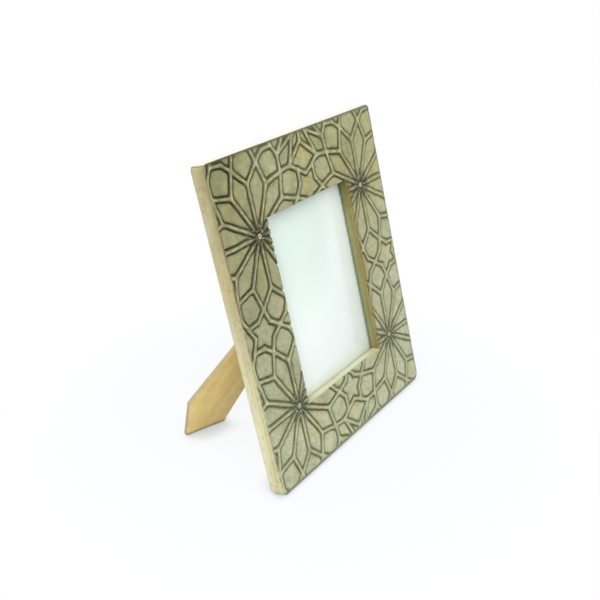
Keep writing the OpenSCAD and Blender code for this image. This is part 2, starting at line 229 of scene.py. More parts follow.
def rotated_back(points):
    """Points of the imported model, in millimetres, with the lean taken out."""
    c = math.cos(LEAN)
    s = math.sin(LEAN)
    x, y, z = (np.asarray(points, float) / MM).T
    return np.stack([x, y * c - z * s, y * s + z * c], axis=1)


def node_points(node):
    """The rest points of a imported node, in metres."""
    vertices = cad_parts[node].data.vertices
    co = np.zeros(len(vertices) * 3, np.float32)
    vertices.foreach_get("co", co)
    return co.reshape(-1, 3).astype(float)


BARS = ["top_rail", "bottom_rail", "left_stile", "right_stile"]
BACK_PLANE = max(rotated_back(node_points(name))[:, 1].max() for name in BARS)
STAND = (
    Matrix.Diagonal((MM, MM, MM, 1))
    @ Matrix.Translation((0, BACK_PLANE / math.cos(LEAN), 0))
    @ Matrix.Rotation(-LEAN, 4, "X")
)
FROM_METRES = STAND.inverted()


def to_frame(points):
    """Frame space points of rest points in metres."""
    return points @ np.array(FROM_METRES.to_3x3()).T + np.array(FROM_METRES.translation)


def frame_box(node):
    """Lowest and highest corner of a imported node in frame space."""
    points = to_frame(node_points(node))
    return points.min(0), points.max(0)


left_low, left_high = frame_box("left_stile")
top_high = frame_box("top_rail")[1]
glass_low, glass_high = frame_box("glass_pane")
FRAME_W = -2 * left_low[0]
FRAME_H = top_high[2]
FRAME_T = -left_low[1]
RAIL_W = left_high[0] - left_low[0]
REBATE_D = -glass_low[1]
REBATE_W = RAIL_W - (FRAME_W / 2 - glass_high[0] - PANE_GAP)


# Curves and noise

def smooth(t):
    """A smooth step from 0 to 1."""
    return t * t * (3 - 2 * t)


def bell(distance, spread):
    """A bell curve, 1 at distance 0."""
    return np.exp(-(distance / spread) ** 2)


def rounded_off(distance, radius):
    """How far a rounded edge or corner falls back at a distance from it."""
    inside = np.clip(radius - distance, 0, radius)
    return radius - np.sqrt(radius ** 2 - inside ** 2)


def soft_noise(x, z, size, seed):
    """Smooth noise from -1 to 1 over frame space, with lumps of the given size."""
    rng = np.random.default_rng(seed)
    cells = int(max(FRAME_W, FRAME_H) / size) + 6
    grid = rng.uniform(-1, 1, (cells, cells))
    u = (np.asarray(x) + FRAME_W / 2) / size + 1
    v = np.asarray(z) / size + 1
    i = np.clip(np.floor(u).astype(int), 0, cells - 2)
    j = np.clip(np.floor(v).astype(int), 0, cells - 2)
    fu = smooth(u - i)
    fv = smooth(v - j)
    low = grid[i, j] * (1 - fu) + grid[i + 1, j] * fu
    high = grid[i, j + 1] * (1 - fu) + grid[i + 1, j + 1] * fu
    return low * (1 - fv) + high * fv


def uneven(x, z, kind):
    """One kind of unevenness over frame space."""
    amount, size, seed = kind
    return amount * soft_noise(x, z, size, seed)


# Strapwork pattern

def polar(radius, degrees):
    return (radius * math.cos(math.radians(degrees)), radius * math.sin(math.radians(degrees)))


def eighth_lines():
    """Centre lines of the straps in one eighth of the repeat."""
    hub = (0.0, 0.0)
    side_0 = polar(PETAL_SIDE, 0)
    side_30 = polar(PETAL_SIDE, 30)
    tip_15 = polar(PETAL_TIP, 15)
    tip_45 = polar(PETAL_TIP, 45)
    return [
        (hub, side_0), (hub, side_30),
        (side_0, tip_15), (side_30, tip_15), (side_30, tip_45),
        (tip_15, EDGE_NEAR), (EDGE_NEAR, MIDDLE),
        (tip_15, EDGE_FAR), (EDGE_FAR, KITE),
        (KITE, KITE_TOP), (KITE, FORK), (FORK, tip_45),
        (FORK, STAR_SIDE), (FORK, STAR_CORNER),
        (STAR_SIDE, STAR_MIDDLE), (STAR_CORNER, STAR_MIDDLE),
    ]


def on_face(u, v):
    """Frame space X and Z of a point given in repeats right of and below the first rosette."""
    right = HUB_LEFT + u * REPEAT_W + SKEW_X * v * REPEAT_H
    down = HUB_TOP + v * REPEAT_H + SKEW_Y * u * REPEAT_W
    return right - FRAME_W / 2, FRAME_H - down


def strap_lines():
    """Every strap's centre line that reaches the face, each one once."""
    found = {}
    for i, j, swap, sx, sy in product(REPEATS, REPEATS, (False, True), (-1, 1), (-1, 1)):
        for ends in eighth_lines():
            if swap:
                ends = [(v, u) for u, v in ends]
            line = sorted(on_face(i + sx * u, j + sy * v) for u, v in ends)
            key = tuple(round(c, 2) for end in line for c in end)
            found[key] = line
    side = FRAME_W / 2 + NET_REACH
    top = FRAME_H + NET_REACH
    return [(x0, z0, x1, z1) for (x0, z0), (x1, z1) in found.values()
            if max(x0, x1) >= -side and min(x0, x1) <= side
            and max(z0, z1) >= -NET_REACH and min(z0, z1) <= top]


STRAPS = strap_lines()
HUBS = [on_face(i, j) for i, j in product(REPEATS, REPEATS)]


def strap_distance(x, z):
    """Distance from each point to the straps' centre lines, blended smoothly where straps meet."""
    reach = 3 * NET_REACH
    close = np.full(x.shape, math.exp(-reach / JOINT_BLEND))
    for x0, z0, x1, z1 in STRAPS:
        near = (x > min(x0, x1) - reach) & (x < max(x0, x1) + reach)
        near &= (z > min(z0, z1) - reach) & (z < max(z0, z1) + reach)
        if not near.any():
            continue
        dx = x1 - x0
        dz = z1 - z0
        share = ((x[near] - x0) * dx + (z[near] - z0) * dz) / (dx * dx + dz * dz)
        share = np.clip(share, 0, 1)
        away = np.hypot(x[near] - x0 - share * dx, z[near] - z0 - share * dz)
        close[near] += np.exp(-away / JOINT_BLEND)
    return np.maximum(-JOINT_BLEND * np.log(close), 0)


def hub_distance(x, z):
    """Distance from each point to the nearest rosette's centre."""
    return np.min([np.hypot(x - hx, z - hz) for hx, hz in HUBS], axis=0)


def hub_stain(x, z, r):
    """Darkness round the rosettes' centres, drawn out inwards and weaker at the bottom right."""
    dark = smooth(np.clip((HUB_STAIN_TO - r) / (HUB_STAIN_TO - HUB_STAIN_FROM), 0, 1))
    across = (x + FRAME_W / 2) / FRAME_W
    down = (FRAME_H - z) / FRAME_H
    for hx, hz in HUBS:
        sx = hx - math.copysign(SMOKE_ACROSS, hx)
        sz = hz - math.copysign(SMOKE_UP, hz - FRAME_H / 2)
        dark = np.maximum(dark, SMOKE_SHARE * bell(np.hypot(x - sx, z - sz), SMOKE_R))
    return np.where(r < BOSS_R, BOSS_STAIN, dark * (1 - HUB_STAIN_FADE * across * down))


def carving(x, z):
    """Depth of the carved surface below the face, closeness to a strap's line, and hub darkness.

    The closeness is 1 on the line and 0 at the net's reach. On a boss it is above 1.
    """
    cut_x = x + uneven(x, z, SWAY_X) + uneven(x, z, TREMOR_X)
    cut_z = z + uneven(x, z, SWAY_Z) + uneven(x, z, TREMOR_Z)
    r = hub_distance(x, z)
    squeeze = np.clip(r / HUB_R, HUB_SQUEEZE, 1)
    d = strap_distance(cut_x, cut_z) / squeeze * (1 + uneven(x, z, WIDTH_CHANGE))
    groove = np.exp(-((d - GROOVE_MID) / GROOVE_SPREAD) ** 4)
    depth = GROOVE_DEPTH * (MEAN_DEPTH_SHARE + uneven(x, z, DEPTH_CHANGE)) * groove
    depth += BAND_CROWN * np.clip(d / BAND_HALF, 0, 1) ** 2
    past = np.clip(d - GROOVE_MID, 0, None)
    depth += np.where(d > GROOVE_MID, PAD_EDGE_DROP * np.exp(-past / PAD_EDGE_SPREAD), 0)
    depth += TOOL_MARK_DEPTH * (1 + uneven(x, z, TOOL_MARKS))
    boss_ring = bell(r - BOSS_GROOVE_R, BOSS_GROOVE_SPREAD)
    depth = np.where(r < BOSS_GROOVE_R, BOSS_DOME * (r / BOSS_GROOVE_R) ** 2, depth)
    depth = np.maximum(depth, GROOVE_DEPTH * BOSS_GROOVE_SHARE * boss_ring)
    net = np.clip(1 - d / NET_REACH, 0, 1)
    net = np.where(r < BOSS_R, BOSS_NET, net)
    groove_net = 1 - GROOVE_MID / NET_REACH
    net = net + (groove_net - net) * boss_ring
    return depth, net, hub_stain(x, z, r)


def ageing(x, z):
    """0 where the border is stained darkest, at its top left, to 1 where it is palest."""
    across = (x + FRAME_W / 2) / FRAME_W
    down = np.clip((FRAME_H - z) / FRAME_H, 0, 1)
    age = 1 - (1 - AGE_ACROSS * across) * (1 - down ** AGE_DOWN_POWER)
    for px, pz, radius, change in STAIN_PATCHES:
        age = age + change * bell(np.hypot(x - px, z - pz), radius)
    return np.clip(age, 0, 1)


# Meshes and objects

def in_scene(name, data):
    """A new object in the scene."""
    made = bpy.data.objects.new(name, data)
    bpy.context.scene.collection.objects.link(made)
    return made


def finished_mesh(name, build):
    """A mesh made from a bmesh, which is freed."""
    mesh = bpy.data.meshes.new(name)
    build.to_mesh(mesh)
    build.free()
    return mesh


def mesh_object(name, points, faces, layers):
    """A mesh object from points in frame space, with float attributes on its points."""
    m = np.array(STAND)
    world = points @ m[:3, :3].T + m[:3, 3]
    mesh = bpy.data.meshes.new(name)
    mesh.from_pydata(world.tolist(), [], faces)
    for key, values in layers.items():
        layer = mesh.attributes.new(key, "FLOAT", "POINT")
        layer.data.foreach_set("value", values.ravel().astype(np.float32))
    build = bmesh.new()
    build.from_mesh(mesh)
    if build.calc_volume(signed=True) < 0:
        bmesh.ops.reverse_faces(build, faces=build.faces)
    build.to_mesh(mesh)
    build.free()
    mesh.shade_smooth()
    return in_scene(name, mesh)


# Border bars

def row_start(t, radius):
    """Distance from the corner at which a row of nominal inset t meets the mitre, found by halving."""
    low = 0.0
    high = RAIL_W + 1
    for _ in range(HALVINGS):
        s = (low + high) / 2
        setback = float(rounded_off(s, radius))
        if s < setback + t * (1 - setback / RAIL_W):
            low = s
        else:
            high = s
    return high


def section_rows():
    """Rows of a bar's section as (inset from the outer side, depth behind the face, kind)."""
    def rounding(radius):
        return [radius * (1 - math.cos(math.radians(a))) for a in ARRIS_ANGLES]

    back = BACK_ARRIS
    bend = BACK_ARRIS_SHARE * back
    lip = FRAME_T - REBATE_D
    rebate = RAIL_W - REBATE_W
    inner = RAIL_W - INNER_ARRIS
    steps = int(round((inner - FACE_ARRIS) / ROW_STEP))
    rows = [(back, FRAME_T, "side"), (bend, FRAME_T - bend, "side"), (0, FRAME_T - back, "side")]
    rows += [(0, depth, "side") for depth in SIDE_DEPTHS]
    rows += [(inset, 0, "face") for inset in rounding(FACE_ARRIS)]
    rows += [(FACE_ARRIS + (inner - FACE_ARRIS) * i / steps, 0, "face") for i in range(steps)]
    rows += [(RAIL_W - t, 0, "face") for t in [INNER_ARRIS] + rounding(INNER_ARRIS)[::-1]]
    rows += [(RAIL_W, depth, "wall") for depth in WALL_DEPTHS + (lip - LIP_ARRIS,)]
    rows += [(RAIL_W - LIP_ARRIS, lip, "wall"), (rebate, lip, "wall")]
    rows += [(rebate, FRAME_T - back, "wall"), (rebate - back, FRAME_T, "side")]
    rows += [(RAIL_W * share, FRAME_T, "side") for share in BACK_SHARES]
    return rows


def placed(node, along, inset, y):
    """Frame space points of a bar, from places along it, insets from its outer side, and Y."""
    x, z = {
        "top_rail": (along - FRAME_W / 2, FRAME_H - inset),
        "bottom_rail": (along - FRAME_W / 2, inset),
        "left_stile": (inset - FRAME_W / 2, along),
        "right_stile": (FRAME_W / 2 - inset, along),
    }[node]
    return np.stack([x, y, z], axis=-1)


def face_depth(carved, inset):
    """Depth of the face where the carving runs out at the rim and cuts through the rounded edges."""
    carved = carved * (RUN_OUT_LEAST + (1 - RUN_OUT_LEAST) * np.clip(inset / RUN_OUT, 0, 1))
    carved = carved * (1 + LIP_NOTCH * bell(RAIL_W - inset, LIP_NOTCH_SPREAD))
    edge = rounded_off(inset, FACE_ARRIS) + rounded_off(RAIL_W - inset, INNER_ARRIS)
    return np.minimum(np.sqrt(carved ** 2 + edge ** 2), DEEPEST_CUT)


def tube_faces(rows, columns):
    """Faces of a closed tube between rows of points, with a cap at each end."""
    starts = [k * (columns + 1) for k in range(rows)]
    faces = []
    for a, b in zip(starts, starts[1:] + starts[:1]):
        faces += [(a + c, a + c + 1, b + c + 1, b + c) for c in range(columns)]
    return faces + [starts, [a + columns for a in reversed(starts)]]


def bar(name, node, length, rim_shade_and_wear, lip_stain=0, corners=(CORNER_R, CORNER_R)):
    """A carved, rebated bar with mitred ends.

    The rim argument is above 0 where painted shade lies on the outer arris, and -1 where it is worn to
    bare wood.
    lip_stain is 1 where the inner wall's colour comes round onto the face.
    corners are the radii of the outline's corners at the start and the end.
    """
    rows = section_rows()
    columns = int(round(length / COLUMN_STEP))
    share = np.linspace(0, 1, columns + 1)
    shape = (len(rows), columns + 1)
    along = np.zeros(shape)
    inset = np.zeros(shape)
    y = np.zeros(shape)
    layers = {key: np.zeros(shape) for key in ("net", "hub", "wall", "rim", "lip", "front", "seam")}
    layers["seam"][:, [0, -1]] = 1
    for k, (t, depth, kind) in enumerate(rows):
        start = row_start(t, corners[0]) + MITRE_GAP
        end = row_start(t, corners[1]) + MITRE_GAP
        along[k] = start + share * (length - start - end)
        setback = rounded_off(along[k], corners[0]) + rounded_off(length - along[k], corners[1])
        inset[k] = setback + t * (1 - setback / RAIL_W)
        y[k] = depth - FRAME_T
        layers["wall"][k] = kind == "wall"
        layers["front"][k] = 1 if kind == "face" else np.clip(1 - depth / STAIN_RUN, 0, 1)
    face = np.array([kind == "face" for _, _, kind in rows])
    points = placed(node, along, inset, y)
    x = points[face, :, 0]
    z = points[face, :, 2]
    carved, layers["net"][face], layers["hub"][face] = carving(x, z)
    nominal = np.array([t for t, _, _ in rows])[face][:, None]
    # Painted shade on the outer arris, stronger near the top right corner. Values below 0 mark a worn
    # arris instead.
    to_corner = np.hypot(x - FRAME_W / 2, z - FRAME_H)
    gathered_shade = 1 + CORNER_RIM_SHADE * bell(to_corner, CORNER_RIM_SHADE_R)
    layers["rim"][face] = rim_shade_and_wear * gathered_shade * bell(nominal, RIM_SPREAD)
    layers["lip"][face] = lip_stain * bell(RAIL_W - nominal, LIP_SPREAD)
    layers["age"] = ageing(points[..., 0], points[..., 2])
    points[face, :, 1] = face_depth(carved, nominal) - FRAME_T
    piece = mesh_object(name, points.reshape(-1, 3), tube_faces(len(rows), columns), layers)
    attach(piece, "frame")
    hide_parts(node)
    return piece


# The rim values paint shade along the outer arris of the top, bottom and right bars. The left stile's
# arris is worn bare.
top_rail = bar("carved_top_rail", "top_rail", FRAME_W, rim_shade_and_wear=1.3)
bottom_rail = bar("carved_bottom_rail", "bottom_rail", FRAME_W, rim_shade_and_wear=5.0,
                  corners=(CORNER_R, WORN_CORNER_R))
left_stile = bar("carved_left_stile", "left_stile", FRAME_H, rim_shade_and_wear=-1)
right_stile = bar("carved_right_stile", "right_stile", FRAME_H, rim_shade_and_wear=1, lip_stain=1,
                  corners=(WORN_CORNER_R, CORNER_R))


# Nail slots and screw holes in the bars' backs

def packed_copy(node):
    """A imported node's rest mesh as a bmesh, with doubled points welded."""
    build = bmesh.new()
    build.from_mesh(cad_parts[node].data)
    bmesh.ops.remove_doubles(build, verts=build.verts, dist=WELD * MM)
    return build


def grow(build, gap):
    """Moves the faces of a bmesh outwards by a gap."""
    build.normal_update()
    moved = [v.co + v.normal * v.calc_shell_factor() * gap * MM for v in build.verts]
    for vertex, place in zip(build.verts, moved):
        vertex.co = place


def pocket(node, mouth=math.inf):
    """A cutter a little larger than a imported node. Points behind its mouth go out past the back."""
    build = packed_copy(node)
    grow(build, SLOT_GAP)
    for vertex in build.verts:
        at = FROM_METRES @ vertex.co
        if at.y > mouth:
            at.y = PAST_BACK
        vertex.co = STAND @ at
    name = node + "_pocket"
    return in_scene(name, finished_mesh(name, build))


def cut(pieces, cutters):
    """Cuts the cutters out of every piece, then removes the cutters."""
    for piece in pieces:
        for cutter in cutters:
            modifier = piece.modifiers.new(cutter.name, "BOOLEAN")
            modifier.operation = "DIFFERENCE"
            modifier.solver = "MANIFOLD"
            modifier.object = cutter
        seen = piece.evaluated_get(bpy.context.evaluated_depsgraph_get())
        mesh = bpy.data.meshes.new_from_object(seen)
        mesh.name = piece.name
        mesh.materials.clear()
        piece.modifiers.clear()
        piece.data = mesh
    for cutter in cutters:
        bpy.data.objects.remove(cutter)


carved_bars = [top_rail, bottom_rail, left_stile, right_stile]
cut(carved_bars, [pocket("corner_v_nails", SLOT_MOUTH), pocket("turn_button_screws")])
for piece in carved_bars:
    piece.data.set_sharp_from_angle(angle=BAR_SHARP_ANGLE)


# Hardware, board, glass and leg

def shown(piece, node, body):
    """Puts a piece on a body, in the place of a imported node."""
    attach(piece, body)
    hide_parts(node)
    return piece


def eased(name, node, body, radius, shrink=0.0):
    """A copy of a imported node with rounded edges, shown in the node's place."""
    build = packed_copy(node)
    bmesh.ops.dissolve_limit(build, angle_limit=FLAT_ANGLE, verts=build.verts, edges=build.edges)
    grow(build, -shrink)
    sharp = [e for e in build.edges if e.is_manifold and e.calc_face_angle() > BEVEL_ANGLE]
    bmesh.ops.bevel(build, geom=sharp, offset=radius * MM, segments=2, profile=0.5, affect="EDGES",
                    clamp_overlap=True)
    mesh = finished_mesh(name, build)
    mesh.shade_smooth()
    mesh.set_sharp_from_angle(angle=SHARP_ANGLE)
    return shown(in_scene(name, mesh), node, body)


def lathed(name, profile, places):
    """A closed mesh turned about frame space Y from (radius, y) points, once at each (x, z) place."""
    turns = [2 * math.pi * i / SCREW_SEGMENTS for i in range(SCREW_SEGMENTS)]
    build = bmesh.new()
    for x, z in places:
        rings = []
        for radius, y in profile:
            angles = turns if radius else [0.0]
            ring = [Vector((x + radius * math.cos(a), y, z + radius * math.sin(a))) for a in angles]
            rings.append([build.verts.new(STAND @ point) for point in ring])
        for low, high in zip(rings, rings[1:]):
            for i in range(SCREW_SEGMENTS):
                j = (i + 1) % SCREW_SEGMENTS
                quad = [low[i % len(low)], low[j % len(low)], high[j % len(high)], high[i % len(high)]]
                build.faces.new(list(dict.fromkeys(quad)))
    bmesh.ops.recalc_face_normals(build, faces=build.faces)
    return finished_mesh(name, build)


def recess(places, top, turn):
    """A cutter for one bar of the crossed recess in every screw head, turned by some degrees."""
    build = bmesh.new()
    for x, z in places:
        shape = Matrix.Translation((x, top, z)) @ Matrix.Rotation(math.radians(turn), 4, "Y")
        shape = shape @ Matrix.Diagonal((RECESS_LENGTH, SCREW_HEAD_H, RECESS_WIDTH, 1))
        bmesh.ops.create_cube(build, size=1, matrix=STAND @ shape)
    name = "recess_" + str(turn)
    return in_scene(name, finished_mesh(name, build))


def turn_screws():
    """Pan head screws with a domed head and a crossed recess."""
    low, high = frame_box("turn_button_screws")
    pivot_x = high[0] - SCREW_HEAD_R
    pivot_top = high[2] - SCREW_HEAD_R
    pivot_low = low[2] + SCREW_HEAD_R
    middle = (pivot_top + pivot_low) / 2
    places = [(0, pivot_top), (0, pivot_low), (-pivot_x, middle), (pivot_x, middle)]
    tip = low[1]
    top = high[1]
    under = top - SCREW_HEAD_H
    profile = [
        (0, tip), (SCREW_TIP_R, tip + SCREW_TIP_H), (SCREW_R, tip + SCREW_POINT_H),
        (SCREW_R, under - SCREW_NECK), (SCREW_R + SCREW_NECK, under),
        (SCREW_HEAD_R - SCREW_HEAD_EASE, under), (SCREW_HEAD_R, under + SCREW_HEAD_EASE),
    ]
    side = under + SCREW_RIM_H
    for step in range(0, 90, DOME_STEP):
        a = math.radians(step)
        profile.append((SCREW_HEAD_R * math.cos(a), side + (top - side) * math.sin(a)))
    profile.append((0, top))
    piece = in_scene("turn_screws", lathed("turn_screws", profile, places))
    cut([piece], [recess(places, top, turn) for turn in (45, 135)])
    piece.data.shade_smooth()
    piece.data.set_sharp_from_angle(angle=SCREW_SHARP_ANGLE)
    return shown(piece, "turn_button_screws", "frame")


pane = eased("glass_sheet", "glass_pane", "frame", GLASS_EASE)
print_sheet = eased("paper_sheet", "photo_insert", "frame", PAPER_EASE, PAPER_SHRINK)
board = eased("back_board", "backing_board", "frame", BOARD_EASE)
nails = eased("v_nail_set", "corner_v_nails", "frame", NAIL_EASE)
pin = eased("hinge_pin_rod", "hinge_pin", "frame", PIN_EASE)
brasses = []
for side, where in (("top", "above"), ("bottom", "below"), ("left", "at_left"), ("right", "at_right")):
    body = "button_" + side
    brasses.append(eased("button_" + where, "turn_" + body, body, BUTTON_EASE))
brasses.append(turn_screws())
for side, body in (("board", "frame"), ("leg", "leg")):
    brasses.append(eased("hinge_leaf_" + side, "hinge_" + side + "_plate", body, LEAF_EASE))
    brasses.append(eased("hinge_studs_" + side, "hinge_" + side + "_rivets", body, STUD_EASE))
leg = eased("wooden_leg", "easel_leg", "leg", LEG_EASE)


# Materials

# Shader coordinates are in metres. After FACE_TURN they run as in frame space: X across the face,
# Y backwards and Z up the face. These are the face, the back, the sill and the opening's right side.
FACE_Y = STAND.translation.y * math.cos(LEAN) - FRAME_T * MM
BACK_Y = FACE_Y + FRAME_T * MM
SILL_Z = STAND.translation.y * math.sin(LEAN) + RAIL_W * MM
OPENING_X = (FRAME_W / 2 - RAIL_W) * MM

# Where a tone begins to change and where it has changed, in the turned coordinates
PAD_WARM_X = (-0.08, 0.07)
PAD_WARM_Z = (0.1, 0.24)
GROOVE_FAINT_X = (0.04, FRAME_W / 2 * MM)
ROSETTE_WARM_Z = (0.1, 0.22)
ROUNDED_SIDE_X = ((3.2 - FRAME_W / 2) * MM, (1.8 - FRAME_W / 2) * MM)
REAR_Y = (FACE_Y + (FRAME_T - 0.45) * MM, FACE_Y + (FRAME_T - 0.1) * MM)
WALL_Y = (FACE_Y + 0.5 * MM, FACE_Y + 9 * MM)
WALL_CORNER_X = ((FRAME_W / 2 - RAIL_W - 30) * MM, OPENING_X)
PAPER_SILL_BOUNCE_Z = (SILL_Z + 9 * MM, SILL_Z)

# The same as heights above the table
WALL_TOP_SHADE_HEIGHT = (0.19, 0.226)
PAPER_SHADE_HEIGHT = (0.2, 0.08)
LEG_FOOT_SHADE_HEIGHT = (4.5 * MM, 1.0 * MM)

# Slant of the marks on the pads, and turn of the hardboard's fibres
MARK_SLANT = math.radians(-32)
FIBRE_TURN = (0.3, 0.5, 0.9)

# How far a face of the leg may look along the leg's thickness and still be one of its narrow sides
LEG_EDGE_FACING = 0.5

# Parts of a strap, from where each begins to where it is full, in closeness to the strap's line
# Pad edges and strap flanks get painted shade, and each strap a painted highlight along its crown.
PAD_EDGE_SHADE_NET = (0.05, 0.45)
GROOVE_FAR_NET = (0.41, 0.5)
GROOVE_NEAR_NET = (0.78, 0.7)
FLANK_SHADE_FAR_NET = (0.5, 0.6)
FLANK_SHADE_NEAR_NET = (0.93, 0.78)
STRAP_HIGHLIGHT_NET = (0.81, 0.96)
CROWN_NET = (0.85, 0.97)
BOSS_TONE_HIGHLIGHT_NET = (1.12, 1.3)


def linear(red, green, blue):
    """A linear colour from 8-bit sRGB values."""
    def channel(c):
        c /= 255
        return c / 12.92 if c <= 0.04045 else ((c + 0.055) / 1.055) ** 2.4
    return (channel(red), channel(green), channel(blue), 1)


# Outer sides of the bars: dark and pale next to the face, then dark and pale at the back
RAW_SIDE = (linear(164, 157, 118), linear(204, 202, 160), linear(186, 179, 141), linear(224, 221, 186))
# The top rail's top side is painted almost white: raw wood with a painted highlight from the light
# above.
RAW_TOP_LIT = (linear(244, 240, 222), linear(252, 250, 240), linear(249, 247, 234), linear(253, 252, 244))

# Walls of the opening: next to the face, then next to the glass
OLIVE_WALL = (linear(138, 124, 76), linear(142, 146, 100))
CREAM_WALL = (linear(213, 211, 180), linear(222, 228, 204))


class Paint:
    """A material whose nodes are added by short calls."""

    def __init__(self, name):
        self.material = bpy.data.materials.new(name)
        self.material.use_nodes = True
        self.nodes = self.material.node_tree.nodes
        self.links = self.material.node_tree.links
        self.nodes.clear()
        self.out = self.nodes.new("ShaderNodeOutputMaterial")

    def put(self, socket, value):
        """Links a socket to another's output, or sets its value."""
        if isinstance(value, bpy.types.NodeSocket):
            self.links.new(value, socket)
        else:
            socket.default_value = value

    def node(self, kind, settings=None, **inputs):
        """A node with its settings and inputs. An underscore in an input's name stands for a space."""
        made = self.nodes.new(kind)
        for key, value in (settings or {}).items():
            setattr(made, key, value)
        for key, value in inputs.items():
            self.put(made.inputs[key.replace("_", " ")], value)
        return made

    def attribute(self, name):
        return self.node("ShaderNodeAttribute", {"attribute_name": name}).outputs["Fac"]

    def math(self, operation, a, b, clamp=False):
        made = self.node("ShaderNodeMath", {"operation": operation, "use_clamp": clamp})
        self.put(made.inputs[0], a)
        self.put(made.inputs[1], b)
        return made.outputs[0]

    def times(self, a, b, clamp=False):
        return self.math("MULTIPLY", a, b, clamp)

    def sway(self, value, noise, amount):
        """A value moved up and down by a noise."""
        return self.math("ADD", value, self.times(self.math("SUBTRACT", noise, 0.5), amount))

    def mix(self, share, a, b, blend="MIX"):
        """A mix of two colours. The node has sockets of several kinds, so colours go by number."""
        made = self.node("ShaderNodeMix", {"data_type": "RGBA", "blend_type": blend})
        self.put(made.inputs["Factor"], share)
        self.put(made.inputs[6], a)
        self.put(made.inputs[7], b)
        return made.outputs[2]

    def tint(self, share, colour, by):
        """A colour multiplied by another, as far as share says."""
        return self.mix(share, colour, by, "MULTIPLY")

    def tints(self, colour, *kinds, within=None):
        """A colour tinted in turn by each kind: a value, its low and high, the most tint, the tone.

        within is a share that weakens all of the tints.
        """
        for value, low, high, most, tone in kinds:
            share = self.range(value, low, high, 0, most)
            if within is not None:
                share = self.times(share, within)
            colour = self.tint(share, colour, linear(*tone))
        return colour

    def range(self, value, low, high, to_low=0.0, to_high=1.0):
        """A value taken from low and high to to_low and to_high, with a smooth step between."""
        made = self.node("ShaderNodeMapRange", {"interpolation_type": "SMOOTHSTEP"}, Value=value,
                         From_Min=low, From_Max=high, To_Min=to_low, To_Max=to_high)
        return made.outputs["Result"]

    def coordinates(self, turn=(0, 0, 0), scale=(1, 1, 1)):
        """Object coordinates, turned and then stretched."""
        source = self.node("ShaderNodeTexCoord").outputs["Object"]
        turned = self.node("ShaderNodeMapping", Vector=source, Rotation=turn).outputs[0]
        return self.node("ShaderNodeMapping", Vector=turned, Scale=scale).outputs[0]

    def axis(self, vector, letter):
        """One coordinate of a vector."""
        return self.node("ShaderNodeSeparateXYZ", Vector=vector).outputs[letter]

    def noise(self, vector, scale, detail, roughness, distortion=0.0):
        made = self.node("ShaderNodeTexNoise", Vector=vector, Scale=scale, Detail=detail,
                         Roughness=roughness, Distortion=distortion)
        return made.outputs["Fac"]

    def streaks(self, turn, scale, detail, roughness, distortion=0.0):
        """Noise with a scale for each turned axis, drawn out where the scale is low."""
        return self.noise(self.coordinates(turn, scale), 1.0, detail, roughness, distortion)

    def bump(self, height, distance, strength):
        made = self.node("ShaderNodeBump", Height=height, Distance=distance, Strength=strength)
        return made.outputs["Normal"]

    def shader_mix(self, share, a, b):
        """A mix of two shader nodes."""
        made = self.node("ShaderNodeMixShader")
        self.put(made.inputs[0], share)
        self.put(made.inputs[1], a.outputs[0])
        self.put(made.inputs[2], b.outputs[0])
        return made

    def ended(self, shader):
        """The material, with a shader node as its surface."""
        self.links.new(shader.outputs[0], self.out.inputs["Surface"])
        return self.material

    def surface(self, **inputs):
        """The material, with one Principled shader as its surface."""
        return self.ended(self.node("ShaderNodeBsdfPrincipled", **inputs))


def grain_scale(along, run, cross):
    """Scales of streaks that run along X or Z."""
    return (run, cross, cross) if along == "X" else (cross, cross, run)


def stained_pads(paint, place, age, dapple, drift):
    """Colour of the pads between the straps, paler with age and warmer towards the top right."""
    marks = paint.streaks((LEAN, MARK_SLANT, 0), (110, 420, 520), 3.0, 0.6)
    veil = paint.noise(place, 34, 2.0, 0.5)
    pad = paint.mix(age, linear(153, 153, 116), linear(200, 204, 176))
    pad = paint.tints(
        pad,
        (dapple, 0.36, 0.64, 0.8, (238, 237, 230)),
        (marks, 0.5, 0.7, 0.7, (228, 226, 216)),
        (drift, 0.52, 0.68, 0.6, (254, 240, 206)),
        (drift, 0.46, 0.34, 0.5, (232, 243, 228)),
        (veil, 0.52, 0.68, 0.6, (230, 228, 228)),
    )
    upwards = paint.range(paint.axis(place, "Z"), *PAD_WARM_Z)
    rightwards = paint.range(paint.axis(place, "X"), *PAD_WARM_X, 0.35, 0.85)
    return paint.tint(paint.times(upwards, rightwards), pad, linear(252, 245, 224))


def straps_and_grooves(paint, place, pad, net, age, dapple, drift):
    """Straps paler with a painted highlight, painted shade by the grooves, and dark grooves over the
    pads.
    """
    # A painted highlight along each strap's crown, patchy with the dapple.
    pale = paint.times(paint.range(dapple, 0.38, 0.62, 0.05, 0.8), paint.range(age, 0, 0.5, 0.6, 1))
    strap = paint.mix(pale, pad, linear(228, 227, 190))
    groove = paint.mix(age, linear(28, 28, 0), linear(104, 107, 69))
    colour = paint.mix(paint.range(net, *STRAP_HIGHLIGHT_NET), pad, strap)
    # Painted shade in the groove colour on the pads' edges and on the straps' flanks.
    colour = paint.mix(paint.range(net, *PAD_EDGE_SHADE_NET, 0, 0.26), colour, groove)
    flank_shade = paint.times(paint.range(net, *FLANK_SHADE_NEAR_NET, 0, 0.25), paint.range(net, *FLANK_SHADE_FAR_NET))
    colour = paint.mix(flank_shade, colour, groove)
    in_groove = paint.times(paint.range(net, *GROOVE_FAR_NET), paint.range(net, *GROOVE_NEAR_NET))
    dark = paint.range(paint.sway(dapple, drift, 1.2), 0.3, 0.62, 0.68, 1.0)
    dark = paint.times(dark, paint.range(paint.axis(place, "X"), *GROOVE_FAINT_X, 1.0, 0.84))
    dark = paint.math("MAXIMUM", dark, paint.range(age, 0.6, 0.0, 0.0, 0.9))
    return paint.mix(paint.times(in_groove, dark), colour, groove)


